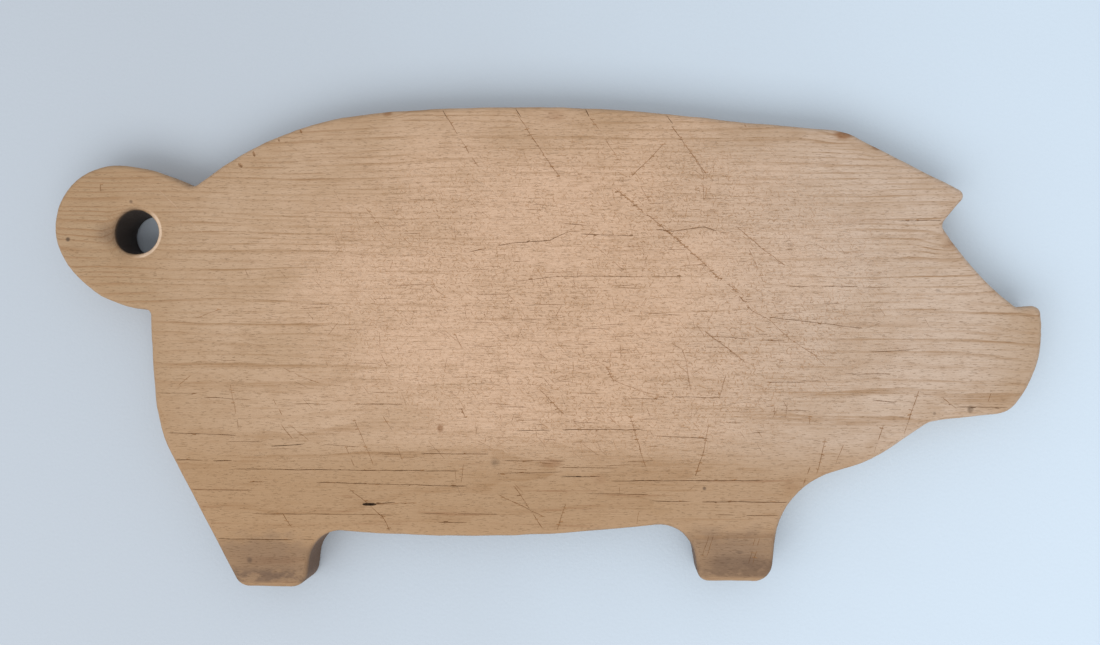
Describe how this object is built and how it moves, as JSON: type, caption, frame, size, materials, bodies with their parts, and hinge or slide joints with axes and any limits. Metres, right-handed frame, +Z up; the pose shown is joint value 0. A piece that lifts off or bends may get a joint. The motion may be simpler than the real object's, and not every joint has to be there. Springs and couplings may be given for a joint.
{
  "type": "chopping board",
  "caption": "Pig-shaped wooden chopping board cut from a single plank, with rounded edges, short feet and a hanging hole through the tail.",
  "frame": {"origin": "middle of the board's outline box, on its underside", "axes": "+X from the tail to the snout along the grain, +Y from the feet to the back, +Z up through the thickness, out of the upper face"},
  "size_m": [0.465, 0.2276, 0.022],
  "materials": {
    "worn_pine": "bare softwood, scrubbed pale and knife-cut in the middle, darker with age towards the edges, dull"
  },
  "bodies": {
    "root": {"board": "worn_pine"}
  },
  "joints": []
}
